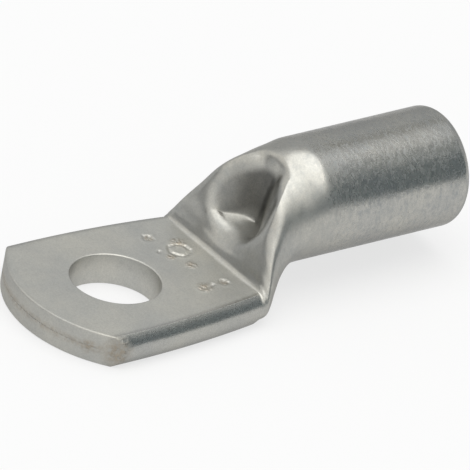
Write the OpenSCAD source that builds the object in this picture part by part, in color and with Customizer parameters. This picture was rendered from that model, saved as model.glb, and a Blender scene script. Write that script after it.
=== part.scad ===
// Tubular cable lug: one length of tinned copper tube. One end stays round and takes the stripped
// conductor, the other is pressed flat into a palm and pierced for a bolt. Between them the upper
// wall folds down into a dished neck with a rounded shoulder on each side.
// Millimetres. X runs along the lug from the palm to the barrel's mouth, Z is the bolt's axis, and
// the origin is the centre of the bolt hole on the underside of the palm.

/* [Palm] */
// Diameter of the bolt hole
hole_d = 8.4; // [5.3:0.1:10.5]
// Thickness of the pressed palm
palm_t = 3.1; // [2.4:0.1:4]
// Width over the rounded sides at the widest place
palm_w = 18.2; // [16:0.1:21]
// How far before the bolt hole the palm is widest
palm_wide_at = 4; // [0:0.5:6]
// Radius of the sides seen from above, which close in a little towards the neck
palm_side_r = 100; // [70:5:200]
// Radius of the rounding on the sides, seen along the lug
palm_edge_r = 1.9; // [1.65:0.05:2.5]
// Distance from the bolt hole to the tip of the palm
palm_tip = 9.55; // [8:0.05:12]
// Radius of the sheared end, seen from above
tip_r = 12; // [10:0.5:20]
// Width of the seam between the two pressed walls, where it shows on the sheared end
seam_w = 0.1; // [0.05:0.01:0.3]
// Depth of that seam
seam_depth = 0.15; // [0.1:0.05:0.5]

/* [Barrel] */
// Outer diameter of the tube
barrel_od = 11.15; // [10:0.05:12.5]
// Wall of the tube
wall = 1.55; // [1.2:0.05:1.8]
// Distance from the bolt hole to the mouth of the barrel
mouth_at = 35.55; // [30:0.05:45]
// Height of the barrel's underside above the palm's underside
barrel_lift = 1.72; // [0:0.01:3]
// Rounding of the mouth's outer edge
mouth_r = 0.9; // [0.2:0.05:1.3]
// Chamfer inside the mouth, which leads the conductor in
lead_in = 0.3; // [0.1:0.05:0.6]

/* [Neck] */
// Distance from the bolt hole to the step where the pressed palm ends
step_at = 11.2; // [9.5:0.1:13]
// Height of the step
step_h = 0.6; // [0.3:0.05:1]
// Length of the neck from the step to the round tube
neck_len = 10.2; // [8.5:0.1:13]
// Length of full bore that is left beside the neck
bore_len = 15.5; // [12:0.1:16]
// Length over which the bore closes into the neck
bore_close = 5.2; // [4:0.1:6]

/* [Hidden] */

// Smoothness of the round parts and of the neck
round_fn = 96;
neck_rings = 52;
arc_steps = 9;
dish_steps = 11;
belly_steps = 4;
mouth_steps = 6;
cavity_rings = 12;
cavity_points = 40;
// How far the start of the neck lies inside the palm that it joins
inset = 0.02;
// How far cutting tools run past the faces that they cut
past = 1;
// How far the palm reaches under the neck that joins it
overlap = 0.4;
// Share of the neck's rings that is drawn towards the step, where the form changes fastest
ring_bias = 0.45;
// Half height of the slit that the bore ends in, and its half width as a share of the bore
slit_half = 0.15;
slit_share = 0.55;
// Share of the bore's closing over which it leaves the round form
round_off = 0.33;

tin = [0.66, 0.67, 0.65];
barrel_r = barrel_od / 2;
bore_r = barrel_r - wall;
axis_z = barrel_lift + barrel_r;
palm_mid = palm_t / 2;
palm_half = palm_w / 2;
// How far before the step the neck's surface starts, inside the palm
neck_lead = 0.9;
bore_from = mouth_at - bore_len;

// Smooth curve through stations of [share of the way, value], level at both ends and never
// past a station's own value
function secant(p, i) = (p[i + 1][1] - p[i][1]) / (p[i + 1][0] - p[i][0]);
function slope(p, i) =
    i == 0 || i == len(p) - 1 ? 0 :
    secant(p, i - 1) * secant(p, i) <= 0 ? 0 :
    2 * secant(p, i - 1) * secant(p, i) / (secant(p, i - 1) + secant(p, i));
function cubic(a, b, slope_a, slope_b, h, t) =
    a * (2 * t * t * t - 3 * t * t + 1) + slope_a * h * (t * t * t - 2 * t * t + t) +
    b * (3 * t * t - 2 * t * t * t) + slope_b * h * (t * t * t - t * t);
function rail(p, u, i = 0) =
    u <= p[0][0] ? p[0][1] :
    u >= p[len(p) - 1][0] ? p[len(p) - 1][1] :
    u > p[i + 1][0] ? rail(p, u, i + 1) :
    let (h = p[i + 1][0] - p[i][0])
    cubic(p[i][1], p[i + 1][1], slope(p, i), slope(p, i + 1), h, (u - p[i][0]) / h);
function mix(a, b, share) = a + (b - a) * share;

// Guide rails of the neck. Each station gives the share of the way from the step to the round
// tube, and the share of the change from the palm to the barrel.
width_rail = [[-0.1, -0.02], [0.03, -0.03], [0.1, 0.17], [0.19, 0.5], [0.28, 0.76], [0.4, 0.93], [0.55, 1]];
belly_rail = [[0, 0], [0.1, 0.08], [0.19, 0.32], [0.28, 0.6], [0.4, 0.87], [0.55, 1]];
waist_rail = [[-0.1, 0], [0.1, 0.06], [0.19, 0.22], [0.28, 0.46], [0.38, 0.69], [0.48, 0.86], [0.7, 1]];
heel_rail = [[-0.1, 0], [0.1, 0.12], [0.19, 0.38], [0.28, 0.6], [0.4, 0.83], [0.6, 1]];
step_rail = [[-0.06, 0], [0.05, 0.3], [0.1, 1]];
// The shoulders draw together while they rise
shoulder_y_rail = [[-0.1, 0], [0, 0.03], [0.02, 0.12], [0.04, 0.26], [0.07, 0.37], [0.13, 0.52],
    [0.18, 0.63], [0.27, 0.8], [0.37, 0.94], [0.47, 1]];
shoulder_z_rail = [[-0.02, 0], [0.02, 0.05], [0.04, 0.12], [0.07, 0.2], [0.13, 0.4], [0.18, 0.54],
    [0.27, 0.75], [0.37, 0.87], [0.47, 0.91], [0.57, 0.94], [0.67, 0.96], [0.83, 1]];
lean_rail = [[0.06, 0], [0.13, 0.4], [0.2, 0.75], [0.28, 0.95], [0.37, 1]];
// The floor between them rises gently as a facet that narrows to the barrel, then climbs a steep
// wall. The crease is sharp where the floor turns up into the shoulders.
floor_z_rail = [[-0.02, 0], [0.06, 0.01], [0.14, 0.04], [0.22, 0.1], [0.3, 0.17], [0.36, 0.23],
    [0.4, 0.33], [0.43, 0.49], [0.46, 0.67], [0.49, 0.8], [0.53, 0.89], [0.59, 0.94], [0.67, 0.97],
    [0.77, 0.99], [0.86, 1]];
floor_y_rail = [[-0.05, 1], [0.04, 0.74], [0.11, 0.5], [0.18, 0.39], [0.27, 0.3], [0.37, 0.21],
    [0.43, 0.18], [0.47, 0.11], [0.53, 0]];
crease_rail = [[0.02, 0.4], [0.12, 1.6], [0.2, 2.2], [0.35, 2], [0.44, 1.2], [0.55, 0]];

// Half width of the palm over its rounded sides, at a distance x from the bolt hole
function palm_half_at(x) = palm_half - palm_side_r + sqrt(pow(palm_side_r, 2) - pow(x + palm_wide_at, 2));

// On the round tube the shoulder is the place this many degrees up from the side, and the heel
// is the place this many degrees down from it
shoulder_angle = 70;
heel_angle = 60;
// Where the shoulders start at the step, in from the sides by this share of their rounding, and
// how much of that width the floor takes there
shoulder_y0 = palm_half_at(step_at) - palm_edge_r * 0.55;
floor_half = shoulder_y0 * 0.78;

// Upper half of a section, from the middle out: the dish, then the shoulder's arc down to the side
function dish(y0, z0, y1, z1, crease, slope1) = [for (i = [0 : dish_steps])
    let (t = i / dish_steps, lift = crease * (z1 - z0) / (y1 - y0))
    [mix(y0, y1, t), cubic(z0, z1, lift, slope1, y1 - y0, t)]];
// The sole runs from the heel back to the middle
function sole(y1, z1, z0, slope1) = [for (i = [1 : belly_steps])
    let (t = 1 - i / belly_steps) [y1 * t, cubic(z0, z1, 0, slope1, y1, t)]];
function arc(cy, cz, ry, rz, a0, a1) = [for (i = [1 : arc_steps])
    let (a = mix(a0, a1, i / arc_steps)) [cy + ry * cos(a), cz + rz * sin(a)]];

function half_section(u) =
    let (
        w = mix(palm_half_at(step_at), barrel_r, rail(width_rail, u)),
        waist = mix(palm_mid, axis_z, rail(waist_rail, u)),
        belly = mix(inset, barrel_lift, rail(belly_rail, u)),
        hy = mix(w - palm_edge_r, barrel_r * cos(heel_angle), rail(heel_rail, u)),
        hz = belly + barrel_r * (1 - sin(heel_angle)) * rail(heel_rail, u),
        heel_turn = mix(90, heel_angle, rail(heel_rail, u)),
        turn = mix(90, shoulder_angle, rail(lean_rail, u)),
        sy = mix(shoulder_y0, barrel_r * cos(shoulder_angle), rail(shoulder_y_rail, u)),
        base = palm_t - inset + step_h * rail(step_rail, u),
        sz = mix(base, axis_z + barrel_r * sin(shoulder_angle), rail(shoulder_z_rail, u)),
        fz = mix(base, axis_z + barrel_r, rail(floor_z_rail, u)),
        fy = floor_half * rail(floor_y_rail, u),
        ey = (sy - w * cos(turn)) / (1 - cos(turn)),
        rz = (sz - waist) / sin(turn),
        by = (hy - w * cos(heel_turn)) / (1 - cos(heel_turn)),
        bz = (waist - hz) / sin(heel_turn),
        lean = -rz * cos(turn) / ((w - ey) * sin(turn))
    )
    concat(
        [[0, fz]],
        dish(max(fy, sy * 0.02), fz, sy, sz, rail(crease_rail, u), lean),
        arc(ey, waist, w - ey, rz, turn, 0),
        arc(by, waist, w - by, bz, 0, -heel_turn),
        sole(hy, hz, belly, bz * cos(heel_turn) / ((w - by) * sin(heel_turn)))
    );

// A whole section runs from the top middle round one side and back up the other
function section(u) =
    let (half = half_section(u), n = len(half))
    concat(half, [for (i = [n - 2 : -1 : 1]) [-half[i][0], half[i][1]]]);

// Closed skin through rings of points that lie one after the other along X, capped by a fan of
// triangles round a middle point at each end
module skin(rings) {
    n = len(rings[0]);
    last = len(rings) - 1;
    first_mid = n * (last + 1);
    polyhedron(
        points = concat([for (ring = rings) each ring], [middle(rings[0]), middle(rings[last])]),
        faces = [
            for (k = [0 : last - 1]) for (j = [0 : n - 1])
                each [
                    [k * n + j, (k + 1) * n + (j + 1) % n, (k + 1) * n + j],
                    [k * n + j, k * n + (j + 1) % n, (k + 1) * n + (j + 1) % n]
                ],
            for (j = [0 : n - 1]) [first_mid, (j + 1) % n, j],
            for (j = [0 : n - 1]) [first_mid + 1, last * n + j, last * n + (j + 1) % n]
        ]
    );
}
function middle(ring) = let (z = [for (p = ring) p[2]]) [ring[0][0], 0, (min(z) + max(z)) / 2];

function ring_share(i) = let (t = i / neck_rings)
    mix(-neck_lead / neck_len, 1, (1 - ring_bias) * t + ring_bias * t * t);

// A section of the round tube, drawn in by shrink all round
function round_section(shrink) = [for (p = section(1))
    let (k = 1 - shrink / barrel_r) [p[0] * k, axis_z + (p[1] - axis_z) * k]];

// The formed tube is one skin: the folded neck, then the straight barrel, whose mouth is rounded
// on its outer edge where it was cut off
module tube() {
    skin([
        for (i = [0 : neck_rings])
            let (u = ring_share(i))
            [for (p = section(u)) [step_at + u * neck_len, p[0], p[1]]],
        for (i = [0 : mouth_steps])
            let (a = 90 * i / mouth_steps)
            [for (p = round_section(mouth_r * (1 - cos(a)))) [mouth_at - mouth_r * (1 - sin(a)), p[0], p[1]]]
    ]);
}

// One side of the palm's outline, a wide disc whose rim has the rounding of the palm's side
module palm_disc(side) {
    translate([-palm_wide_at, side * (palm_side_r - palm_half), 0])
        rotate_extrude($fn = 4 * round_fn)
            intersection() {
                square([palm_side_r, palm_t]);
                union() {
                    square([palm_side_r - palm_edge_r, palm_t]);
                    translate([palm_side_r - palm_edge_r, palm_mid])
                        circle(palm_edge_r, $fn = round_fn);
                }
            }
}

// The palm is pressed between flat dies and sheared to a round end
module palm() {
    intersection() {
        palm_disc(1);
        palm_disc(-1);
        translate([tip_r - palm_tip, 0, -past])
            cylinder(r = tip_r, h = palm_t + 2 * past, $fn = 2 * round_fn);
        translate([-palm_tip - past, -palm_w, -past])
            cube([step_at + overlap + palm_tip + past, 2 * palm_w, palm_t + 2 * past]);
    }
}

// Where the tube's walls come together the bore closes into a flat pocket, which keeps a wall's
// thickness below the floor of the dish and in front of its steep end
function pocket_ring(s) =
    let (
        u = (bore_from - s * bore_close - step_at) / neck_len,
        floor_z = mix(palm_t, axis_z + barrel_r, rail(floor_z_rail, u - wall / neck_len)),
        top = mix(axis_z + bore_r, floor_z - wall, min(1, s / round_off)),
        low = mix(0, barrel_lift, rail(belly_rail, u)) + wall,
        half_h = max(slit_half, (top - low) / 2),
        half_w = mix(bore_r - inset, bore_r * slit_share, s)
    )
    [for (j = [0 : cavity_points - 1])
        let (a = 360 * j / cavity_points)
        [step_at + u * neck_len, half_w * sin(a), low + half_h * (1 + cos(a))]];

module pocket() {
    skin([for (i = [cavity_rings : -1 : 0]) pocket_ring(i / cavity_rings)]);
}

module bore() {
    translate([bore_from - inset, 0, axis_z])
        rotate([0, 90, 0])
            cylinder(r = bore_r, h = bore_len + past, $fn = round_fn);
    translate([mouth_at - lead_in, 0, axis_z])
        rotate([0, 90, 0])
            cylinder(r1 = bore_r, r2 = bore_r + lead_in + past, h = lead_in + past, $fn = round_fn);
}

// The line between the two walls shows on the sheared end, short of its two corners
module seam() {
    intersection() {
        translate([tip_r - palm_tip, 0, palm_mid - seam_w / 2])
            difference() {
                cylinder(r = tip_r + past, h = seam_w, $fn = 2 * round_fn);
                translate([0, 0, -past])
                    cylinder(r = tip_r - seam_depth, h = seam_w + 2 * past, $fn = 2 * round_fn);
            }
        translate([-palm_tip - 2 * past, palm_edge_r - palm_half, 0])
            cube([palm_tip, palm_w - 2 * palm_edge_r, palm_t]);
    }
}

module lug() {
    color(tin)
        difference() {
            union() {
                palm();
                tube();
            }
            translate([0, 0, -past])
                cylinder(d = hole_d, h = palm_t + step_h + 2 * past, $fn = round_fn);
            bore();
            pocket();
            seam();
        }
}

lug();
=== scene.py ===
# %% [markdown]
# # A tubular cable lug
# The lug is one length of tinned copper tube. One end stays round for the conductor, the other is
# pressed flat and pierced for a bolt. The notebook starts from the solid model, which gives the
# real sizes in metres, and adds what a picture needs: a finely divided skin, the tin, light and a
# camera. Lengths in the cells below are in millimetres and are turned into metres at the very end.

# %% Load the solid model
import math

import bpy
import numpy as np
from mathutils import Matrix, Vector


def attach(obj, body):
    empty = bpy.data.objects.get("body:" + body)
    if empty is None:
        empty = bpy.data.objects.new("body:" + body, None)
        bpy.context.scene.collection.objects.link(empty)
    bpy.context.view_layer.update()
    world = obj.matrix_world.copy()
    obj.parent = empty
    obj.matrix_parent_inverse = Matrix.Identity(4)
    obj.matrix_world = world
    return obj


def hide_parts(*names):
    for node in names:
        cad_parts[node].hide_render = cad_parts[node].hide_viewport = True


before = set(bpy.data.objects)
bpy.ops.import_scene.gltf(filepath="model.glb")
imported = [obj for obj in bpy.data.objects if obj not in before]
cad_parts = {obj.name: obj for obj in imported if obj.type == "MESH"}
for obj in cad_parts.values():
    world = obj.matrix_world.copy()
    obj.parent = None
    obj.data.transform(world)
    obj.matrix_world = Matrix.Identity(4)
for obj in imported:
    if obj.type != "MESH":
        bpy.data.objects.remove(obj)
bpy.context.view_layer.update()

MM = 0.001
bpy.context.scene.view_settings.view_transform = "Standard"

# %% [markdown]
# ## The camera
# A long lens far away keeps parallel edges parallel, as a catalogue picture does. The camera looks
# down at the palm from the front left and is turned a little about its own axis, so the barrel
# climbs to the upper right. Its place is worked out from the angles, never set by eye.

# %% Place the camera
CAMERA_AZIMUTH = math.radians(-42.04)
CAMERA_ELEVATION = math.radians(29.94)
CAMERA_ROLL = math.radians(10.69)
FRAME_WIDTH = 42.27 * MM
LENS_MM = 1500.0
SENSOR_MM = 36.0
AIM_AT = Vector((10, 0, 4)) * MM
AIM_RIGHT = 2.64 * MM
AIM_UP = 1.24 * MM


def camera_axes(azimuth, elevation, roll):
    """Right, up and backward directions of a camera that looks down at the elevation."""
    back = Vector((
        math.sin(azimuth) * math.cos(elevation),
        -math.cos(azimuth) * math.cos(elevation),
        math.sin(elevation),
    ))
    level_right = Vector((math.cos(azimuth), math.sin(azimuth), 0))
    level_up = back.cross(level_right)
    right = math.cos(roll) * level_right + math.sin(roll) * level_up
    up = math.cos(roll) * level_up - math.sin(roll) * level_right
    return right, up, back


right, up, back = camera_axes(CAMERA_AZIMUTH, CAMERA_ELEVATION, CAMERA_ROLL)
lens = bpy.data.cameras.new("camera")
lens.lens = LENS_MM
lens.sensor_width = SENSOR_MM
lens.clip_start = 0.01
lens.clip_end = 20
camera_distance = FRAME_WIDTH * LENS_MM / SENSOR_MM
camera = bpy.data.objects.new("camera", lens)
bpy.context.scene.collection.objects.link(camera)
camera.matrix_world = Matrix.LocRotScale(
    AIM_AT + AIM_RIGHT * right + AIM_UP * up + camera_distance * back,
    Matrix((right, up, back)).transposed(),
    None,
)
bpy.context.scene.camera = camera
print("camera stands", round(camera_distance, 3), "m away")

# %% [markdown]
# ## The sizes of the lug
# These are the same sizes as in the solid model. X runs along the lug, Z is the axis of the bolt
# and the origin is the centre of the bolt hole on the underside of the palm.

# %% Sizes
PALM_T = 3.1
PALM_HALF = 9.1
PALM_WIDE_AT = 4.0
PALM_SIDE_R = 100.0
SIDE_ROUND = 1.9
PALM_TIP = 9.55
TIP_R = 12.0
HOLE_R = 4.2
BARREL_R = 5.575
WALL = 1.55
BORE_R = BARREL_R - WALL
BARREL_LIFT = 1.72
AXIS_Z = BARREL_LIFT + BARREL_R
MOUTH_AT = 35.55
MOUTH_R = 0.9
LEAD_IN = 0.3
STEP_AT = 11.2
STEP_H = 0.6
NECK_LEN = 10.2
BORE_FROM = MOUTH_AT - 15.5
BORE_CLOSE = 5.2
SHOULDER_ANGLE = math.radians(70)
HEEL_ANGLE = math.radians(60)
print("the barrel's axis is", AXIS_Z, "mm above the underside of the palm")

# %% [markdown]
# ## The guide rails
# A folded neck has no simple formula, so it is led by guide rails, as a boat's hull is by its
# battens. Each rail says how far one feature, such as the floor of the dish or the crest of a
# shoulder, has changed from the palm to the round tube, at a share of the way along the neck.

# %% Curves through stations


def rail(stations, share):
    """Smooth curve through stations of (share, value), which never passes a station's value."""
    at, value = np.array(stations, float).T
    gap = np.diff(at)
    secant = np.diff(value) / gap
    slope = np.zeros(len(at))
    for i in range(1, len(at) - 1):
        if secant[i - 1] * secant[i] > 0:
            slope[i] = 2 * secant[i - 1] * secant[i] / (secant[i - 1] + secant[i])
    share = np.clip(share, at[0], at[-1])
    k = np.clip(np.searchsorted(at, share) - 1, 0, len(gap) - 1)
    return cubic(value[k], value[k + 1], slope[k], slope[k + 1], gap[k], (share - at[k]) / gap[k])


def cubic(a, b, slope_a, slope_b, length, t):
    """Cubic from a to b with given slopes at its ends."""
    return (
        a * (2 * t**3 - 3 * t**2 + 1)
        + slope_a * length * (t**3 - 2 * t**2 + t)
        + b * (3 * t**2 - 2 * t**3)
        + slope_b * length * (t**3 - t**2)
    )


def mix(a, b, share):
    """Value at a share of the way from a to b."""
    return a + (b - a) * share


def ease(low, high, value):
    """Rises smoothly from 0 at low to 1 at high."""
    t = np.clip((value - low) / (high - low), 0, 1)
    return t * t * (3 - 2 * t)


print("a quarter of the way, an eased change has gone", float(ease(0, 1, 0.25)))

# %% [markdown]
# The stations below were read off the photograph's outline and folds and then adjusted against
# renders. Width, belly, waist and heel lead the round outside. Step and shoulder lead the rim of
# the dish. Floor leads the flat slit to which the bore closes under it.

# %% The rails of the neck
RAILS = {
    "width": [(-0.1, -0.02), (0.03, -0.03), (0.1, 0.17), (0.19, 0.5), (0.28, 0.76), (0.4, 0.93),
              (0.55, 1)],
    "belly": [(0, 0), (0.1, 0.08), (0.19, 0.32), (0.28, 0.6), (0.4, 0.87), (0.55, 1)],
    "waist": [(-0.1, 0), (0.1, 0.06), (0.19, 0.22), (0.28, 0.46), (0.38, 0.69), (0.48, 0.86),
              (0.7, 1)],
    "heel": [(-0.1, 0), (0.1, 0.12), (0.19, 0.38), (0.28, 0.6), (0.4, 0.83), (0.6, 1)],
    "step": [(-0.06, 0), (0.05, 0.3), (0.1, 1)],
    "shoulder_y": [(-0.1, 0), (0, 0.03), (0.02, 0.12), (0.04, 0.26), (0.07, 0.34), (0.13, 0.42),
                   (0.18, 0.47), (0.27, 0.57), (0.37, 0.71), (0.47, 0.85), (0.6, 0.96), (0.75, 1)],
    "shoulder_z": [(-0.02, 0), (0.02, 0.05), (0.04, 0.12), (0.07, 0.2), (0.13, 0.375), (0.18, 0.49),
                   (0.27, 0.675), (0.37, 0.795), (0.47, 0.87), (0.57, 0.925), (0.67, 0.955),
                   (0.83, 1)],
    "lean": [(0.06, 0), (0.13, 0.4), (0.2, 0.75), (0.28, 0.95), (0.37, 1)],
    "floor_z": [(-0.02, 0), (0.06, 0.01), (0.14, 0.04), (0.22, 0.1), (0.3, 0.17), (0.36, 0.23),
                (0.4, 0.33), (0.43, 0.49), (0.46, 0.67), (0.49, 0.8), (0.53, 0.89), (0.59, 0.94),
                (0.67, 0.97), (0.77, 0.99), (0.86, 1)],
    "crease": [(0, 0.3), (0.06, 0.7), (0.12, 1.3), (0.2, 1.6), (0.36, 1.6), (0.44, 1.2), (0.55, 0)],
}


def on_rail(name, x):
    """Value of a neck rail at a distance x from the bolt hole."""
    return float(rail(RAILS[name], np.array([(x - STEP_AT) / NECK_LEN]))[0])


def palm_half_at(x):
    """Half width of the palm over its rounded sides."""
    return PALM_HALF - PALM_SIDE_R + np.sqrt(PALM_SIDE_R**2 - (x + PALM_WIDE_AT) ** 2)


palm_width = 2 * float(palm_half_at(STEP_AT))
print(len(RAILS), "rails; the palm is", round(palm_width, 2), "mm wide at the step")

# %% [markdown]
# When the press drives the top of the tube down, the metal buckles into a dish: a short riser at
# the step, a nearly flat facet, a sharp crease and then a steep wall up to the round barrel. These
# curves are given in millimetres, as height or half width against the distance from the hole.

# %% The folds of the dish
DISH_MIDDLE = [(10.5, 3.1), (10.8, 3.13), (11.05, 3.22), (11.2, 3.34), (11.35, 3.6), (11.55, 3.92),
               (11.75, 4.12), (12.25, 4.56), (12.75, 4.95), (13.3, 5.2), (14.0, 5.34), (14.9, 5.5),
               (15.25, 5.75), (15.55, 6.7), (15.8, 8.4), (16.0, 10.1), (16.25, 11.3), (16.6, 12.0),
               (17.2, 12.35), (18.2, 12.68), (19.4, 12.82), (20.2, 12.87)]
DISH_BED = [*DISH_MIDDLE[:12], (15.4, 5.55), (17, 5.62)]
CREASE_HEIGHT = [(10.9, 0), (11.2, 0.02), (11.4, 0.12), (11.7, 0.5), (12.1, 0.88), (12.6, 0.85),
                 (13.4, 0.44), (14.8, 0.28), (15.6, 0.12), (16.2, 0)]
CREASE_Y = [(10.5, 5.4), (11.0, 4.6), (11.3, 3.9), (11.7, 3.45), (12.27, 2.99), (13.2, 2.25),
            (14.2, 1.57), (15.2, 0.98), (15.8, 0.6), (16.2, 0.3), (16.6, 0)]


def along(stations, x):
    """Value at x on a curve whose stations are given in millimetres."""
    return rail(stations, np.array(x, float))


print("the facet lies", round(float(along(DISH_MIDDLE, 14.0)), 2), "mm above the underside")

# %% [markdown]
# ## Half sections
# Every section across the lug is a closed loop with the same number of points, and each point
# keeps its part: floor, flank, upper side, lower side, sole. That way the loops can be joined into
# one skin of four-sided faces, from the palm over the neck and round the mouth into the bore.

# %% Points of a half section
FLOOR_POINTS = 36
FLANK_POINTS = 40
UPPER_POINTS = 24
LOWER_POINTS = 16
SOLE_POINTS = 14
TOP_POINTS = FLOOR_POINTS + FLANK_POINTS


def arc(centre_y, centre_z, radius_y, radius_z, start, end, count):
    """Points of an elliptic arc after its first one."""
    a = np.linspace(start, end, count + 1)[1:]
    return np.column_stack((centre_y + radius_y * np.cos(a), centre_z + radius_z * np.sin(a)))


print("each side of the top has", TOP_POINTS, "points")

# %% [markdown]
# The wall behind the crease isn't straight across. Seen from above it bends round the facet like a
# bowl, so its foot is a parabola, and it rises steeply at first and levels off at the crest.

# %% The wall of the pocket
TROUGH = 2.2
WALL_FOOT = 15.4
WALL_BEND = 0.36
WALL_STEEP = (1.9, 4.8)
STEEPENS = (14.2, 15.7)
FOLD_BOW = 0.05
BOW_STARTS = (11.8, 12.9)
BOW_ENDS = (14.2, 15.4)
LEAST_FOOT = 0.3


def pocket_wall(x, y, crest_y, crest_z):
    """Heights across the dish at x: a shallow trough inside a bent wall up to the crest."""
    foot_y = math.sqrt(max(0, WALL_FOOT - x) / WALL_BEND)
    bow = FOLD_BOW * float(1 - ease(*BOW_ENDS, x))
    trough = along(DISH_BED, x + bow * np.minimum(y, foot_y) ** 2)
    edge = float(along(CREASE_HEIGHT, x))
    trough = trough + edge * np.clip(y / max(foot_y, LEAST_FOOT), 0, 1) ** TROUGH
    foot_z = float(along(DISH_BED, x + bow * foot_y**2)) + edge
    climb = (x + WALL_BEND * y**2 - WALL_FOOT) / (x + WALL_BEND * crest_y**2 - WALL_FOOT)
    steep = mix(*WALL_STEEP, float(ease(*STEEPENS, x)))
    return trough + (crest_z - foot_z) * (1 - (1 - np.clip(climb, 0, 1)) ** steep)


def folded_top(x, y, floor_y, crest_y, crest_z, lean):
    """Heights across the top at x: a dished floor, then a flank from the crease to the crest."""
    bow = FOLD_BOW * float(ease(*BOW_STARTS, x) * (1 - ease(*BOW_ENDS, x)))
    middle = float(along(DISH_MIDDLE, x + bow * floor_y**2))
    floor_z = middle + float(along(CREASE_HEIGHT, x))
    lift = on_rail("crease", x) * (crest_z - floor_z) / (crest_y - floor_y)
    t = np.clip((y - floor_y) / (crest_y - floor_y), 0, 1)
    flank = cubic(floor_z, crest_z, lift, lean, crest_y - floor_y, t)
    inside = np.clip(y / floor_y, 0, 1)
    dish = along(DISH_MIDDLE, x + bow * np.minimum(y, floor_y) ** 2)
    return np.where(y < floor_y, dish + (floor_z - middle) * inside**TROUGH, flank)


print("the wall's foot lies", WALL_FOOT, "mm from the hole")

# %% [markdown]
# A section of the neck is put together from its top, two elliptic arcs down its side and a sole.
# The arcs take the slopes of their neighbours, so the skin stays smooth round the shoulder and the
# heel. At the far end of the neck the same section is simply the round tube.

# %% Half section of the neck
SHOULDER_SHARE = 0.55
LEAST_FLOOR = 0.02
EVENS_OUT = (15.2, 18)
POCKET_STARTS = (11.7, 12.4)
POCKET_ENDS = (15.9, 16.8)


def places_across(x, floor_y, crest_y):
    """Places of the top's points: gathered at the crease while there is one, even on the tube."""
    gathered = np.concatenate((
        np.linspace(0, floor_y, FLOOR_POINTS + 1),
        np.linspace(floor_y, crest_y, FLANK_POINTS + 1)[1:],
    ))
    even = np.linspace(0, crest_y, TOP_POINTS + 1)
    return mix(gathered, even, float(ease(*EVENS_OUT, x)))


def neck_underside(x, width, waist):
    """Points from the widest place of the neck down to the middle of its sole."""
    belly = mix(0, BARREL_LIFT, on_rail("belly", x))
    heel = on_rail("heel", x)
    heel_turn = mix(math.pi / 2, HEEL_ANGLE, heel)
    heel_y = mix(width - SIDE_ROUND, BARREL_R * math.cos(HEEL_ANGLE), heel)
    heel_z = belly + BARREL_R * (1 - math.sin(HEEL_ANGLE)) * heel
    low_y = (heel_y - width * math.cos(heel_turn)) / (1 - math.cos(heel_turn))
    low_h = (waist - heel_z) / math.sin(heel_turn)
    slope = low_h * math.cos(heel_turn) / ((width - low_y) * math.sin(heel_turn))
    s = 1 - np.arange(1, SOLE_POINTS + 1) / SOLE_POINTS
    sole = np.column_stack((heel_y * s, cubic(belly, heel_z, 0, slope, heel_y, s)))
    return np.concatenate((
        arc(low_y, waist, width - low_y, low_h, 0, -heel_turn, LOWER_POINTS),
        sole,
    ))


def neck_half(x):
    """Half section of the neck and of the round tube, from the middle of its top to its sole."""
    palm_half = float(palm_half_at(STEP_AT))
    width = mix(palm_half, BARREL_R, on_rail("width", x))
    waist = mix(PALM_T / 2, AXIS_Z, on_rail("waist", x))
    turn = mix(math.pi / 2, SHOULDER_ANGLE, on_rail("lean", x))
    rim_y = palm_half - SIDE_ROUND * SHOULDER_SHARE
    rim_z = PALM_T + STEP_H * on_rail("step", x)
    crest_y = mix(rim_y, BARREL_R * math.cos(SHOULDER_ANGLE), on_rail("shoulder_y", x))
    crest_z = mix(rim_z, AXIS_Z + BARREL_R * math.sin(SHOULDER_ANGLE), on_rail("shoulder_z", x))
    side_y = (crest_y - width * math.cos(turn)) / (1 - math.cos(turn))
    side_h = (crest_z - waist) / math.sin(turn)
    lean = -side_h * math.cos(turn) / ((width - side_y) * math.sin(turn))
    floor_y = max(float(along(CREASE_Y, x)), LEAST_FLOOR * crest_y)
    y = places_across(x, floor_y, crest_y)
    folded = folded_top(x, y, floor_y, crest_y, crest_z, lean)
    walled = pocket_wall(x, y, crest_y, crest_z)
    pocket = float(ease(*POCKET_STARTS, x) * (1 - ease(*POCKET_ENDS, x)))
    return np.concatenate((
        np.column_stack((y, mix(folded, walled, pocket))),
        arc(side_y, waist, width - side_y, side_h, turn, 0, UPPER_POINTS),
        neck_underside(x, width, waist),
    ))


print("a half section has", len(neck_half(14.0)), "points")

# %% [markdown]
# The palm is pressed between flat dies and its sides bulge out as a barrel stave does. The bulge
# meets the flat faces in an edge that is only slightly broken, and that thin edge catches light.

# %% Half section of the palm
EDGE_BREAK = 0.12
EDGE_POINTS = 6


def palm_half_section(width):
    """Half section of the palm at a given half width, with the same points as the neck's."""
    centre_y = width - SIDE_ROUND
    reach = math.sqrt((SIDE_ROUND - EDGE_BREAK) ** 2 - (PALM_T / 2 - EDGE_BREAK) ** 2)
    corner = math.atan2(PALM_T / 2 - EDGE_BREAK, reach)
    flat = centre_y + reach
    y = np.linspace(0, flat, TOP_POINTS + 1)
    s = 1 - np.arange(1, SOLE_POINTS + 1) / SOLE_POINTS
    middle = PALM_T / 2
    upper = PALM_T - EDGE_BREAK
    right_angle = math.pi / 2
    return np.concatenate((
        np.column_stack((y, np.full(len(y), PALM_T))),
        arc(flat, upper, EDGE_BREAK, EDGE_BREAK, right_angle, corner, EDGE_POINTS),
        arc(centre_y, middle, SIDE_ROUND, SIDE_ROUND, corner, 0, UPPER_POINTS - EDGE_POINTS),
        arc(centre_y, middle, SIDE_ROUND, SIDE_ROUND, 0, -corner, LOWER_POINTS - EDGE_POINTS),
        arc(flat, EDGE_BREAK, EDGE_BREAK, EDGE_BREAK, -corner, -right_angle, EDGE_POINTS),
        np.column_stack((flat * s, np.zeros(SOLE_POINTS))),
    ))


def whole(half):
    """A closed loop from a half section and its mirror image."""
    return np.concatenate((half, half[-2:0:-1] * [-1, 1]))


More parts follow.
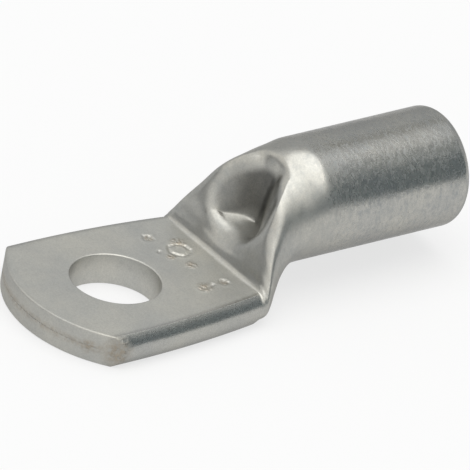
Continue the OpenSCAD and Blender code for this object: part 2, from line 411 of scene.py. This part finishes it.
print("a whole loop has", len(whole(palm_half_section(PALM_HALF))), "points")

# %% [markdown]
# ## Loops along the lug
# Near the tip the loops bend with the sheared round end and straighten on their way to the hole.
# Over the step the palm's section passes into the neck's. The loops stand close together where the
# metal is folded and far apart along the straight barrel.

# %% Loops of the palm and the neck
ARC_STRAIGHT_AT = -1.5
PALM_TO_NECK = (10.5, 11.2)
WIDTH_TRIES = 6


def tip_sag(y):
    """How far the round end lies behind its foremost point, at a distance y from the middle."""
    return TIP_R - np.sqrt(TIP_R**2 - np.minimum(np.abs(y), TIP_R - 0.1) ** 2)


def palm_loop(x):
    """Closed loop of the palm whose middle lies at x."""
    bend = float(1 - ease(-PALM_TIP, ARC_STRAIGHT_AT, x))
    width = float(palm_half_at(x))
    for _ in range(WIDTH_TRIES):
        width = float(palm_half_at(x + tip_sag(width) * bend))
    loop = whole(palm_half_section(width))
    return np.column_stack((x + tip_sag(loop[:, 0]) * bend, loop))


def skin_loop(x):
    """Closed loop of the outer skin whose middle lies at x."""
    share = float(ease(*PALM_TO_NECK, x))
    if share == 0:
        return palm_loop(x)
    neck = whole(neck_half(x))
    neck = np.column_stack((np.full(len(neck), x), neck))
    return neck if share == 1 else mix(palm_loop(x), neck, share)


def spaced(start, end, step):
    """Evenly spaced places after start, up to and with end."""
    count = max(1, round((end - start) / step))
    return list(np.linspace(start, end, count + 1)[1:])


EDGE_R = 0.16
LOOP_SPACING = [(-2, 0.3), (5, 0.35), (10.4, 0.09), (12.4, 0.055), (15.2, 0.08), (16.6, 0.045),
                (21.4, 0.17), (MOUTH_AT - MOUTH_R, 0.4)]
stations = [-PALM_TIP + EDGE_R]
for end, step in LOOP_SPACING:
    stations += spaced(stations[-1], end, step)
outer_loops = [skin_loop(x) for x in stations]
print(len(outer_loops), "loops from the tip to the mouth")

# %% [markdown]
# ## The two ends
# The tip was sheared through both walls of the flattened tube, so a fine seam runs across the cut.
# It is a shallow groove that narrows to almost nothing at its bottom. The mouth was sawn and
# tumbled: its outer edge is well rounded and the bore has a small lead-in.

# %% Ends of the skin
SEAM_HALF = 0.1
SEAM_DEPTH = 0.03
SEAM_PINCH = 0.08
SEAM_REACH = 7.2
FACE_LOOPS = 9
ROUND_LOOPS = 5
MOUTH_LOOPS = 10
FINE_BEVEL = 0.04
LEAD_RUN = 0.06
LEAD_STEP = 0.03


def inset(loop, distance):
    """The loop drawn in by a distance, square to its own outline."""
    ahead = np.roll(loop, -1, axis=0) - np.roll(loop, 1, axis=0)
    normal = np.column_stack((ahead[:, 2], -ahead[:, 1]))
    normal /= np.linalg.norm(normal, axis=1)[:, None]
    middle = loop[:, 1:].mean(axis=0)
    if ((loop[:, 1:] - middle) * normal).sum() < 0:
        normal = -normal
    return np.column_stack((loop[:, 0], loop[:, 1:] - distance * normal))


def tip_loops():
    """Loops of the rounded edge, the sheared face and its seam, from the seam outwards."""
    base = palm_loop(-PALM_TIP)
    made = []
    for a in np.linspace(0, math.pi / 2, ROUND_LOOPS + 1)[1:]:
        loop = inset(base, EDGE_R * (1 - math.cos(a)))
        loop[:, 0] = -PALM_TIP + EDGE_R * (1 - math.sin(a)) + tip_sag(loop[:, 1])
        made.append(loop)
    face = made[-1]
    half = PALM_T / 2 - EDGE_R
    for share in np.linspace(1, SEAM_HALF / half, FACE_LOOPS)[1:]:
        y = mix(np.clip(face[:, 1], -SEAM_REACH, SEAM_REACH), face[:, 1], share)
        z = PALM_T / 2 + (face[:, 2] - PALM_T / 2) * share
        made.append(np.column_stack((-PALM_TIP + tip_sag(y), y, z)))
    bottom = made[-1] + [SEAM_DEPTH, 0, 0]
    bottom[:, 2] = mix(PALM_T / 2, bottom[:, 2], SEAM_PINCH)
    made.append(bottom)
    return made[::-1]


def scaled_barrel(x, radius):
    """Loop of the round tube at x, at another radius."""
    loop = outer_loops[-1] * [0, 1, 1] - [0, 0, AXIS_Z]
    return loop * radius / BARREL_R + [x, 0, AXIS_Z]


def mouth_loops():
    """Loops of the rounded mouth and its lead-in, from outside to inside."""
    made = []
    for a in np.linspace(0, math.pi / 2, MOUTH_LOOPS + 1)[1:]:
        made.append(scaled_barrel(
            MOUTH_AT - MOUTH_R * (1 - math.sin(a)), BARREL_R - MOUTH_R * (1 - math.cos(a))
        ))
    made.append(scaled_barrel(MOUTH_AT, BORE_R + LEAD_IN + FINE_BEVEL))
    made.append(scaled_barrel(MOUTH_AT - FINE_BEVEL, BORE_R + LEAD_IN))
    made.append(scaled_barrel(MOUTH_AT - LEAD_IN, BORE_R + LEAD_STEP))
    made.append(scaled_barrel(MOUTH_AT - LEAD_IN - LEAD_RUN, BORE_R))
    return made


print(len(tip_loops()), "loops on the tip and", len(mouth_loops()), "round the mouth")

# %% [markdown]
# The bore runs straight to the neck. There the walls come together, and it closes to a flat slit
# that stays a wall's thickness away from the dish.

# %% Loops of the bore
SLIT_HALF = 0.15
SLIT_SHARE = 0.55
ROUND_OFF = 0.33
CLOSE_LOOPS = 16
BORE_STEP = 0.8


def bore_loops():
    """Loops down the bore, from the mouth to the slit."""
    start = MOUTH_AT - LEAD_IN - LEAD_RUN
    made = [scaled_barrel(start - d, BORE_R) for d in spaced(0, start - BORE_FROM, BORE_STEP)]
    round_loop = made[-1]
    angle = np.arctan2(round_loop[:, 1], round_loop[:, 2] - AXIS_Z)
    for s in np.linspace(0, 1, CLOSE_LOOPS + 1)[1:]:
        x = BORE_FROM - s * BORE_CLOSE
        floor_z = mix(PALM_T, AXIS_Z + BARREL_R, on_rail("floor_z", x - WALL))
        top = mix(AXIS_Z + BORE_R, floor_z - WALL, min(1, s / ROUND_OFF))
        low = mix(0, BARREL_LIFT, on_rail("belly", x)) + WALL
        half_h = max(SLIT_HALF, (top - low) / 2)
        half_w = mix(BORE_R, BORE_R * SLIT_SHARE, s)
        made.append(np.column_stack((
            np.full(len(angle), x), half_w * np.sin(angle), low + half_h * (1 + np.cos(angle))
        )))
    return made


loops = np.array(tip_loops() + outer_loops + mouth_loops() + bore_loops())
print("the whole skin has", len(loops), "loops")

# %% [markdown]
# ## Press marks
# Such lugs are stamped between the hole and the neck. The marks here are plain dents, a ring and a
# bar with no meaning. Each is pushed into the skin with a soft edge, and the metal that it drives
# out stands up as a faint rim round it. Two waves across the palm make their outlines a little
# ragged, as worn stamps do.

# %% Press the marks into the palm
MARK_DEPTH = 0.09
MARK_EDGE = 0.16
RIM_SHARE = 0.16
DENTS = [(7.1, 4.7, 0.5), (6.6, 2.35, 0.16), (9.15, -4.2, 0.42), (8.05, -0.65, 0.1)]
RINGS = [(8.6, 1.9, 0.95, 0.13)]
BARS = [(6.4, -4.45, 7.9, -4.2, 0.14)]
WAVE = 0.05
RIPPLE = 0.03


def pressed(distance):
    """Height of the skin at a distance from the edge of a mark, which is negative inside it."""
    inside = 1 - ease(-MARK_EDGE, MARK_EDGE, distance)
    rim = np.exp(-(((distance - 1.6 * MARK_EDGE) / MARK_EDGE) ** 2))
    return MARK_DEPTH * (RIM_SHARE * rim - inside)


def ragged(x, y):
    """The same places, shifted a little to and fro so that outlines drawn there look worn."""
    shift_x = WAVE * np.sin(7.3 * y) + RIPPLE * np.sin(17 * y + x)
    shift_y = WAVE * np.sin(6.1 * x) + RIPPLE * np.sin(15 * x - y)
    return x + shift_x, y + shift_y


def marks(x, y):
    """Height of all marks at points of the palm."""
    x, y = ragged(x, y)
    total = np.zeros_like(x)
    for mx, my, radius in DENTS:
        total += pressed(np.hypot(x - mx, y - my) - radius)
    for mx, my, radius, half in RINGS:
        total += pressed(np.abs(np.hypot(x - mx, y - my) - radius) - half)
    for x0, y0, x1, y1, half in BARS:
        run_x, run_y = x1 - x0, y1 - y0
        t = np.clip(((x - x0) * run_x + (y - y0) * run_y) / (run_x**2 + run_y**2), 0, 1)
        total += pressed(np.hypot(x - x0 - t * run_x, y - y0 - t * run_y) - half)
    return total


MARKS_FROM, MARKS_TO = 4.5, 10.8
FLAT_WITHIN = 0.02
loop_x, loop_y, loop_z = loops[..., 0], loops[..., 1], loops[..., 2]
on_top = (np.abs(loop_z - PALM_T) < FLAT_WITHIN) & (loop_x > MARKS_FROM) & (loop_x < MARKS_TO)
loops[..., 2] += np.where(on_top, marks(loop_x, loop_y), 0)
print(int(on_top.sum()), "points lie where the marks are pressed")

# %% [markdown]
# ## One closed skin
# The loops are joined by four-sided faces and the two last loops are closed by one face each. The
# result is a watertight mesh, like the solid model, only finer.

# %% Join the loops into a mesh


def skin_faces(loop_count, around):
    """Four-sided faces between neighbouring loops, and one face on each end."""
    k, j = np.meshgrid(np.arange(loop_count - 1), np.arange(around), indexing="ij")
    here, beside = k * around + j, k * around + (j + 1) % around
    quads = np.stack((here, here + around, beside + around, beside), axis=-1).reshape(-1, 4)
    first = list(range(around))
    last = list(range((loop_count - 1) * around, loop_count * around))
    return quads.tolist() + [first, last[::-1]]


lug_mesh = bpy.data.meshes.new("lug_skin")
lug_mesh.from_pydata((loops.reshape(-1, 3) * MM).tolist(), [], skin_faces(*loops.shape[:2]))
lug_mesh.validate()
lug_skin = bpy.data.objects.new("lug_skin", lug_mesh)
bpy.context.scene.collection.objects.link(lug_skin)
print("skin:", len(lug_mesh.vertices), "points,", len(lug_mesh.polygons), "faces")

# %% [markdown]
# ## The bolt hole
# The hole is punched after the palm is pressed. A turned cutter with slightly flared ends is
# subtracted, which leaves the small rounding that a punch and tumbling leave on both rims.

# %% Cut the bolt hole
RIM_R = 0.14
RIM_STEPS = 5
CUTTER_SIDES = 144
CUTTER_PAST = 0.6
SHARP_OVER = math.radians(32)


def cutter_profile():
    """Radius and height of the cutter from its bottom to its top."""
    a = np.linspace(0, math.pi / 2, RIM_STEPS + 1)
    lower = [(HOLE_R + RIM_R * (1 - math.sin(t)), RIM_R * (1 - math.cos(t))) for t in a]
    upper = [(r, PALM_T - z) for r, z in reversed(lower)]
    return [(lower[0][0], -CUTTER_PAST), *lower, *upper, (upper[-1][0], PALM_T + CUTTER_PAST)]


def turned(name, profile, sides):
    """A closed turned solid round the Z axis."""
    a = 2 * math.pi * np.arange(sides) / sides
    rings = [np.column_stack((r * np.cos(a), r * np.sin(a), np.full(sides, z))) for r, z in profile]
    mesh = bpy.data.meshes.new(name)
    quads = skin_faces(len(rings), sides)
    mesh.from_pydata((np.concatenate(rings) * MM).tolist(), [], [f[::-1] for f in quads])
    made = bpy.data.objects.new(name, mesh)
    bpy.context.scene.collection.objects.link(made)
    return made


cutter = turned("cutter", cutter_profile(), CUTTER_SIDES)
cut = lug_skin.modifiers.new("bolt_hole", "BOOLEAN")
cut.operation = "DIFFERENCE"
cut.solver = "EXACT"
cut.object = cutter
bpy.context.view_layer.update()
evaluated = lug_skin.evaluated_get(bpy.context.evaluated_depsgraph_get())
cut_mesh = bpy.data.meshes.new_from_object(evaluated)
lug_skin.modifiers.clear()
lug_skin.data = cut_mesh
bpy.data.objects.remove(cutter)
cut_mesh.polygons.foreach_set("use_smooth", [True] * len(cut_mesh.polygons))
cut_mesh.set_sharp_from_angle(angle=SHARP_OVER)
print("after the hole:", len(cut_mesh.vertices), "points,", len(cut_mesh.polygons), "faces")

# %% [markdown]
# ## The table and the light
# Bright metal shows its surroundings more than itself, so the surroundings are part of the look.
# The lug lies on a wide white table under a soft overhead lamp, in a plain pale room. To the camera
# and to gloss the table glows a little, so that it stays white, but it keeps the lug's shadow.

# %% Lay the table
TABLE_RADIUS = 1.5
TABLE_SIDES = 96
TABLE_WHITE = 0.9
TABLE_GLOW = 0.96
GLOW_SHARE = 0.7
TABLE_GAP = 0.00002


def plain_finish(name, colour):
    """A plain matt finish for the studio."""
    material = bpy.data.materials.new(name)
    material.use_nodes = True
    shader = material.node_tree.nodes["Principled BSDF"]
    shader.inputs["Base Color"].default_value = (*colour, 1)
    shader.inputs["Roughness"].default_value = 0.9
    shader.inputs["Specular IOR Level"].default_value = 0.1
    return material


def studio_sheet(name, points, faces, material):
    """A sheet of the studio, which isn't part of the lug."""
    mesh = bpy.data.meshes.new(name)
    mesh.from_pydata(points, [], faces)
    mesh.materials.append(material)
    made = bpy.data.objects.new(name, mesh)
    bpy.context.scene.collection.objects.link(made)
    return made


table_top = plain_finish("table_top", (TABLE_WHITE, TABLE_WHITE, TABLE_WHITE))
table_nodes, table_links = table_top.node_tree.nodes, table_top.node_tree.links
ray = table_nodes.new("ShaderNodeLightPath")
seen = table_nodes.new("ShaderNodeMath")
seen.operation = "MAXIMUM"
table_links.new(ray.outputs["Is Camera Ray"], seen.inputs[0])
table_links.new(ray.outputs["Is Glossy Ray"], seen.inputs[1])
glow_share = table_nodes.new("ShaderNodeMath")
glow_share.operation = "MULTIPLY"
glow_share.inputs[1].default_value = GLOW_SHARE
table_links.new(seen.outputs[0], glow_share.inputs[0])
table_glow = table_nodes.new("ShaderNodeEmission")
table_glow.inputs["Strength"].default_value = TABLE_GLOW
blend = table_nodes.new("ShaderNodeMixShader")
table_links.new(glow_share.outputs[0], blend.inputs["Fac"])
table_links.new(table_nodes["Principled BSDF"].outputs[0], blend.inputs[1])
table_links.new(table_glow.outputs[0], blend.inputs[2])
table_links.new(blend.outputs[0], table_nodes["Material Output"].inputs["Surface"])

table_angles = [2 * math.pi * i / TABLE_SIDES for i in range(TABLE_SIDES)]
table_rim = [
    (TABLE_RADIUS * math.cos(a), TABLE_RADIUS * math.sin(a), -TABLE_GAP) for a in table_angles
]
studio_sheet("table", table_rim, [tuple(range(TABLE_SIDES))], table_top)
print("table is", 2 * TABLE_RADIUS, "m across")

# %% [markdown]
# One round soft lamp hangs over the lug, and the room gives an even pale light. The lamp's power is
# worked out from the brightness that its face should have, where 1 is white.

# %% Hang the lamp and set the room
ROOM_COLOUR = (0.66, 0.67, 0.68)
LAMP_COLOUR = (1, 0.985, 0.95)
LAMP_HEIGHT = 1.2
LAMP_SIZE = 1.4
LAMP_LEVEL = 1.8
LAMP_X = 0.014

world = bpy.data.worlds.new("room")
bpy.context.scene.world = world
world.use_nodes = True
world.node_tree.nodes["Background"].inputs["Color"].default_value = (*ROOM_COLOUR, 1)
world.node_tree.nodes["Background"].inputs["Strength"].default_value = 1

overhead = bpy.data.lights.new("overhead", "AREA")
overhead.shape = "DISK"
overhead.size = LAMP_SIZE
overhead.energy = LAMP_LEVEL * math.pi * math.pi * (LAMP_SIZE / 2) ** 2
overhead.color = LAMP_COLOUR
overhead_lamp = bpy.data.objects.new("overhead", overhead)
overhead_lamp.location = (LAMP_X, 0, LAMP_HEIGHT)
overhead_lamp.visible_camera = False
bpy.context.scene.collection.objects.link(overhead_lamp)
print("overhead lamp at", LAMP_HEIGHT, "m")

# %% [markdown]
# Curved grey screens and glowing softboxes stand round the lug, as in a product studio. They are
# seen only in reflections. The grey ones give the round surfaces the dark bands that let the eye
# read their form, and the softboxes give the bright streaks on the shoulders.

# %% Stand the screens and softboxes
SCREEN_RADIUS = 0.5
SCREEN_STEP = 6
DARK_GREY = (0.24, 0.28, 0.30)


def screen(name, azimuths, heights, colour):
    """A curved matt screen round the lug, seen only by gloss; azimuths and heights in degrees."""
    count = max(1, round(abs(azimuths[1] - azimuths[0]) / SCREEN_STEP))
    points = []
    for i in range(count + 1):
        a = math.radians(mix(azimuths[0], azimuths[1], i / count))
        for h in heights:
            e = math.radians(h)
            points.append((
                SCREEN_RADIUS * math.cos(a) * math.cos(e),
                SCREEN_RADIUS * math.sin(a) * math.cos(e),
                SCREEN_RADIUS * math.sin(e),
            ))
    faces = [(2 * i, 2 * i + 2, 2 * i + 3, 2 * i + 1) for i in range(count)]
    made = studio_sheet(name, points, faces, plain_finish(name, colour))
    made.visible_camera = False
    made.visible_diffuse = False
    made.visible_shadow = False
    return made


def softbox(name, azimuths, heights, level):
    """A screen that glows by itself, at a level where 1 is white."""
    made = screen(name, azimuths, heights, (0, 0, 0))
    finish = made.data.materials[0].node_tree.nodes["Principled BSDF"]
    finish.inputs["Emission Color"].default_value = (*LAMP_COLOUR, 1)
    finish.inputs["Emission Strength"].default_value = level


screen("screen_front", (-66, -28), (0.5, 37), DARK_GREY)
screen("screen_front_left", (-122, -66), (0.5, 21), DARK_GREY)
screen("screen_front_upper", (-50, -12), (37, 50), (0.42, 0.45, 0.46))
screen("screen_right_upper", (26, 50), (39, 50), (0.5, 0.5, 0.48))
screen("screen_back", (128, 168), (0.5, 18), (0.2, 0.21, 0.22))
softbox("softbox_back", (85, 168), (20, 55), 1.0)
softbox("softbox_left", (168, 238), (12, 50), 1.15)
softbox("softbox_front", (238, 292), (23, 50), 1.7)
softbox("softbox_front_right", (292, 304), (37, 50), 1.7)
softbox("softbox_high", (200, 320), (50, 66), 2.2)
print("the screens stand", SCREEN_RADIUS, "m from the lug")

# %% [markdown]
# ## Where the tin is matt or bright
# Each part of the lug was worked by another tool. The palm kept the fine grain of the flat dies,
# its sides were rubbed smooth, and the fold is dull because tumbling can't reach into it. First
# every point of the skin is told which part it lies on, with soft borders between the parts.

# %% Find the parts on the skin
coords = np.empty(len(cut_mesh.vertices) * 3)
cut_mesh.vertices.foreach_get("co", coords)
px, py, pz = coords.reshape(-1, 3).T / MM

DISH_HALF = (6.9, 1.9)
WALL_BORDER = (WALL_FOOT - 0.15, WALL_FOOT + 0.25)
NECK_BORDERS = (11.1, 11.5), (16.5, 17.5)
FOLD_BELOW_CREST = (0.3, 4.5)
WALL_BELOW_CREST = (0.8, 1.6)
FOLD_OVER = 3.2
PALM_BORDER = (10.7, 11.3)
SIDE_BORDER = (1.3, 0.7)
BARREL_BORDER = (16.5, 23.5)
FACE_BORDER = (0.1, 0.5)

neck_share = (px - STEP_AT) / NECK_LEN
crest_at = mix(PALM_T + STEP_H, AXIS_Z + BARREL_R, rail(RAILS["shoulder_z"], neck_share))
in_dish = np.abs(py) < mix(*DISH_HALF, rail(RAILS["shoulder_y"], neck_share))
in_neck = ease(*NECK_BORDERS[0], px) * (1 - ease(*NECK_BORDERS[1], px))
on_wall = ease(*WALL_BORDER, px + WALL_BEND * py**2)
fold_depth = in_neck * ease(*FOLD_BELOW_CREST, crest_at - pz) * in_dish * (pz > FOLD_OVER)
wall_depth = in_neck * on_wall * ease(*WALL_BELOW_CREST, crest_at - pz) * in_dish
on_palm = 1 - ease(*PALM_BORDER, px)
on_side = ease(*SIDE_BORDER, palm_half_at(px) - np.abs(py)) * on_palm
on_barrel = ease(*BARREL_BORDER, px)
on_face = 1 - ease(*FACE_BORDER, px + PALM_TIP - tip_sag(py))
print(int((fold_depth > 0.5).sum()), "points lie deep in the fold")

# %% [markdown]
# The sheared face and its seam kept a little dirt and bare copper, and so did the press marks and
# one corner of the tip. These stains are small soft balls round chosen places, each given by its
# centre and its reach. Where the skin is stained it is also rough.

# %% Place the stains
STAIN_SPOTS = [(8.05, -0.65, 3.1, 0.6), (7.1, 1.2, 3.1, 0.5), (9.2, 3.0, 3.1, 0.8),
               (-5.9, -8.7, 1.6, 1.5), (-7.6, -6.6, 1.5, 0.8), (6.9, -4.3, 3.0, 0.8),
               (7.2, 4.7, 3.0, 0.5), (9.1, -4.2, 3.0, 0.45)]
SPOT_EDGE = (0.3, 1.3)
SEAM_EDGE = (0.15, 0.6)
SEAM_STAIN = 0.55

stain_level = np.zeros(len(px))
for sx, sy, sz, reach in STAIN_SPOTS:
    away = np.sqrt((px - sx) ** 2 + (py - sy) ** 2 + (pz - sz) ** 2) / reach
    stain_level = np.maximum(stain_level, 1 - ease(*SPOT_EDGE, away))
seam_level = on_face * (1 - ease(*SEAM_EDGE, np.abs(pz - PALM_T / 2)))
stain_level = np.maximum(stain_level, SEAM_STAIN * seam_level)
print(int((stain_level > 0.5).sum()), "points are stained")

# %% [markdown]
# Three more values are kept for every point: how matt the tin is, how light its tone is and how
# strongly it is speckled. They are stored on the mesh, where the material reads them, because a
# stored value keeps its place on the metal from every side. The tones in the dish aren't wear but
# painted light, matched to the photograph because what the walls mirror there isn't known: the end
# wall, the far wall and the floor are darkened as painted shade, and the near wall is lightened as
# a painted reflection. For other light they can all be set to 1.

# %% Store matt, tone, speckle and stain on the points
MATT = {"neck": 0.36, "barrel": 0.25, "palm": 0.47, "side": 0.26, "fold": 0.42, "worn": 0.55}
# The dish entries below are painted light: painted shade on the deep wall, far wall and floor, and
# a painted reflection on the near wall.
TONE_AND_PAINTED_LIGHT = {"palm": 1.2, "deep wall": 0.33, "near wall": 1.6, "far wall": 0.7,
        "near floor": 0.95, "far floor": 0.8, "face": 0.88}
SPECKLE = {"neck": 0.5, "barrel": 1.0, "palm": 0.22}
NEAR_WALL = (0.3, 1.6)
FAR_WALL = (1.4, 3.2)
FLOOR_SIDES = (-1.5, 1.0)
WORN_SHARE = 0.7

matt_level = mix(mix(MATT["neck"], MATT["barrel"], on_barrel), MATT["palm"], on_palm)
matt_level = mix(matt_level, MATT["side"], on_side)
matt_level = mix(matt_level, MATT["fold"], fold_depth)
matt_level = mix(matt_level, MATT["worn"], WORN_SHARE * np.maximum(on_face, stain_level))

# Painted shade on the end wall and far wall of the dish, and a painted reflection lightening its
# near wall.
wall_painted_shade_and_reflection = mix(TONE_AND_PAINTED_LIGHT["deep wall"], TONE_AND_PAINTED_LIGHT["near wall"], ease(*NEAR_WALL, -py))
wall_painted_shade_and_reflection = mix(wall_painted_shade_and_reflection, TONE_AND_PAINTED_LIGHT["far wall"], ease(*FAR_WALL, py))
# Painted shade on the floor of the dish, darker towards its far side.
floor_painted_shade = mix(TONE_AND_PAINTED_LIGHT["near floor"], TONE_AND_PAINTED_LIGHT["far floor"], ease(*FLOOR_SIDES, py))
tone_and_painted_light_level = mix(1.0, TONE_AND_PAINTED_LIGHT["palm"], on_palm * (1 - on_side))
tone_and_painted_light_level *= mix(1.0, wall_painted_shade_and_reflection, wall_depth) * mix(1.0, floor_painted_shade, fold_depth * (1 - on_wall))
tone_and_painted_light_level *= mix(1.0, TONE_AND_PAINTED_LIGHT["face"], on_face)

speckle_level = mix(SPECKLE["neck"], SPECKLE["barrel"], on_barrel)
speckle_level = mix(speckle_level, SPECKLE["palm"], on_palm)

for name, level in (("matt", matt_level), ("tone", tone_and_painted_light_level),
                    ("speckle", speckle_level), ("stain", stain_level)):
    stored_level = cut_mesh.attributes.new(name, "FLOAT", "POINT")
    stored_level.data.foreach_set("value", level.astype(np.float32))
print("matt from", round(float(matt_level.min()), 2), "to", round(float(matt_level.max()), 2))

# %% [markdown]
# ## Tinned copper
# Tin plating is soft and grey-white. It is satin rather than mirror bright, with fine mottling
# where the tube slid in the dies. The finish is procedural, so it holds at any distance.

# %% Read the skin's own values
TIN = (0.42, 0.418, 0.392)
tin = bpy.data.materials.new("tinned_copper")
tin.use_nodes = True
nodes, links = tin.node_tree.nodes, tin.node_tree.links
shader = nodes["Principled BSDF"]
shader.inputs["Metallic"].default_value = 1.0
shader.inputs["Specular Tint"].default_value = (0.6, 0.6, 0.6, 1)


def stored(name):
    """Value that is stored on the points of the skin."""
    node = nodes.new("ShaderNodeAttribute")
    node.attribute_name = name
    return node.outputs["Fac"]


def maths(operation, *values):
    """Result of a sum on sockets or numbers."""
    node = nodes.new("ShaderNodeMath")
    node.operation = operation
    for socket, value in zip(node.inputs, values):
        if isinstance(value, (int, float)):
            socket.default_value = value
        else:
            links.new(value, socket)
    return node.outputs[0]


def ramp(value, *stops):
    """Colour ramp over a value; each stop is a place and a grey level or a colour."""
    node = nodes.new("ShaderNodeValToRGB")
    for i, (where, shade) in enumerate(stops):
        stop = node.color_ramp.elements[i] if i < 2 else node.color_ramp.elements.new(where)
        stop.position = where
        stop.color = (*shade, 1) if isinstance(shade, tuple) else (shade, shade, shade, 1)
    links.new(value, node.inputs["Fac"])
    return node.outputs["Color"]


def colour_mix(kind, share, first, second):
    """Two colours mixed by a share; each value is a number, a colour or a socket."""
    node = nodes.new("ShaderNodeMix")
    node.data_type = "RGBA"
    node.blend_type = kind
    # A mix node has its sockets for numbers and vectors in front of those for colours
    factor, colour_a, colour_b = node.inputs[0], node.inputs[6], node.inputs[7]
    for socket, value in ((factor, share), (colour_a, first), (colour_b, second)):
        if isinstance(value, tuple):
            socket.default_value = (*value, 1)
        elif isinstance(value, (int, float)):
            socket.default_value = value
        else:
            links.new(value, socket)
    return node.outputs[2]


matt, tone, speckle, stain = (stored(name) for name in ("matt", "tone", "speckle", "stain"))
print("the skin stores matt, tone, speckle and stain")

# %% [markdown]
# The patterns are read in the lug's own millimetres, so their grain has a real size. Tumbling and
# drawing leave short marks round the tube, so the mottling is squeezed along its length.

# %% Patterns in millimetres
place = nodes.new("ShaderNodeTexCoord")
in_mm = nodes.new("ShaderNodeMapping")
in_mm.inputs["Scale"].default_value = (1000, 1000, 1000)
links.new(place.outputs["Object"], in_mm.inputs["Vector"])
squeezed = nodes.new("ShaderNodeMapping")
squeezed.inputs["Scale"].default_value = (1700, 1000, 1000)
links.new(place.outputs["Object"], squeezed.inputs["Vector"])


def noise(where, scale, detail=2.0, roughness=0.5, distortion=0.0):
    """Cloudy pattern with so many lumps to a millimetre."""
    node = nodes.new("ShaderNodeTexNoise")
    node.inputs["Scale"].default_value = scale
    node.inputs["Detail"].default_value = detail
    node.inputs["Roughness"].default_value = roughness
    node.inputs["Distortion"].default_value = distortion
    links.new(where.outputs["Vector"], node.inputs["Vector"])
    return node.outputs["Fac"]


grain = noise(in_mm, 7.0, 3, 0.6)
mottle = noise(squeezed, 1.7, 4, 0.62, 0.3)
flecks = noise(squeezed, 3.4, 2, 0.5, 0.4)
clouds = noise(in_mm, 0.22, 3, 0.5)
dents = noise(in_mm, 0.35, 2, 0.45)
print("patterns: grain, mottle, flecks, clouds and dents")

# %% [markdown]
# The tin's colour swings softly between a cooler and a warmer grey. Fine grain, wide clouds and a
# few dark flecks are laid over it, then the tone of each part, which in the dish is painted shade
# and a painted reflection, and last the brownish stains, which are broken up by a pattern of their
# own so that they look like remains and not like paint.

# %% Colour of the tin
COOL_TIN = (0.36, 0.37, 0.362)
WARM_TIN = (0.475, 0.466, 0.432)
FLECK_GREY = (0.2, 0.2, 0.19)
FLECK_SHARE = 0.5
STAIN_BROWN = (0.32, 0.275, 0.215)
STAIN_SHARE = 0.75

mottled = ramp(mottle, (0.3, COOL_TIN), (0.5, TIN), (0.7, WARM_TIN))
tin_colour = colour_mix("MIX", speckle, TIN, mottled)
fine = ramp(grain, (0.3, 0.9), (0.7, 1.08))
tin_colour = colour_mix("MULTIPLY", 1.0, tin_colour, fine)
patches = ramp(clouds, (0.3, (0.9, 0.91, 0.93)), (0.7, (1.07, 1.06, 1.04)))
tin_colour = colour_mix("MULTIPLY", 1.0, tin_colour, patches)
in_patches = ramp(clouds, (0.45, 0.0), (0.6, 1.0))
spots = maths("MULTIPLY", ramp(flecks, (0.6, 0.0), (0.68, 1.0)), in_patches)
fleck_share = maths("MULTIPLY", maths("MULTIPLY", spots, speckle), FLECK_SHARE)
tin_colour = colour_mix("MIX", fleck_share, tin_colour, FLECK_GREY)
# The stored tone puts painted shade on the dish's walls and floor and a painted reflection on its
# near wall.
tinted = colour_mix("MULTIPLY", 1.0, tin_colour, tone)
patchy = maths("MULTIPLY", stain, ramp(noise(in_mm, 2.6, 3, 0.6), (0.35, 0.1), (0.6, 1.0)))
tinted = colour_mix("MIX", maths("MULTIPLY", patchy, STAIN_SHARE), tinted, STAIN_BROWN)
links.new(tinted, shader.inputs["Base Color"])
print("tin colour", TIN)

# %% [markdown]
# The same mottling makes the tin smoother and rougher by turns. Shallow bumps then break up the
# reflections, as tumbling does. Except in the stains they are thinner than a sheet of paper.

# %% Gloss of the tin
GLOSS_SWING = -0.6
SMOOTHEST = 0.12
DENT_DEPTH = 0.05
MOTTLE_DEPTH = 0.012
GRAIN_DEPTH = 0.006
STAIN_DEPTH = 0.12

uneven = maths("MULTIPLY", maths("SUBTRACT", mottle, 0.5), speckle)
roughness = maths("ADD", matt, maths("MULTIPLY", uneven, GLOSS_SWING))
links.new(maths("MAXIMUM", roughness, SMOOTHEST), shader.inputs["Roughness"])


def bump(height, distance, below=None):
    """Bump of a height pattern; distance is its depth in millimetres."""
    node = nodes.new("ShaderNodeBump")
    node.inputs["Distance"].default_value = distance * MM
    links.new(height, node.inputs["Height"])
    if below:
        links.new(below, node.inputs["Normal"])
    return node.outputs["Normal"]


skin = bump(dents, DENT_DEPTH)
skin = bump(maths("MULTIPLY", mottle, speckle), MOTTLE_DEPTH, skin)
skin = bump(grain, GRAIN_DEPTH, skin)
skin = bump(maths("MULTIPLY", patchy, noise(in_mm, 3.0, 3, 0.6)), STAIN_DEPTH, skin)
links.new(skin, shader.inputs["Normal"])
print("bumps are up to", STAIN_DEPTH, "mm deep")

# %% [markdown]
# The skin gets its finish and is tied to the solid model: it rides on the part's only body and is
# shown in place of the part's only node.

# %% Finish the lug
lug_skin.data.materials.clear()
lug_skin.data.materials.append(tin)

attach(lug_skin, "root")
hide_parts("lug")
print("shown:", lug_skin.name, "with", len(cut_mesh.vertices), "points")
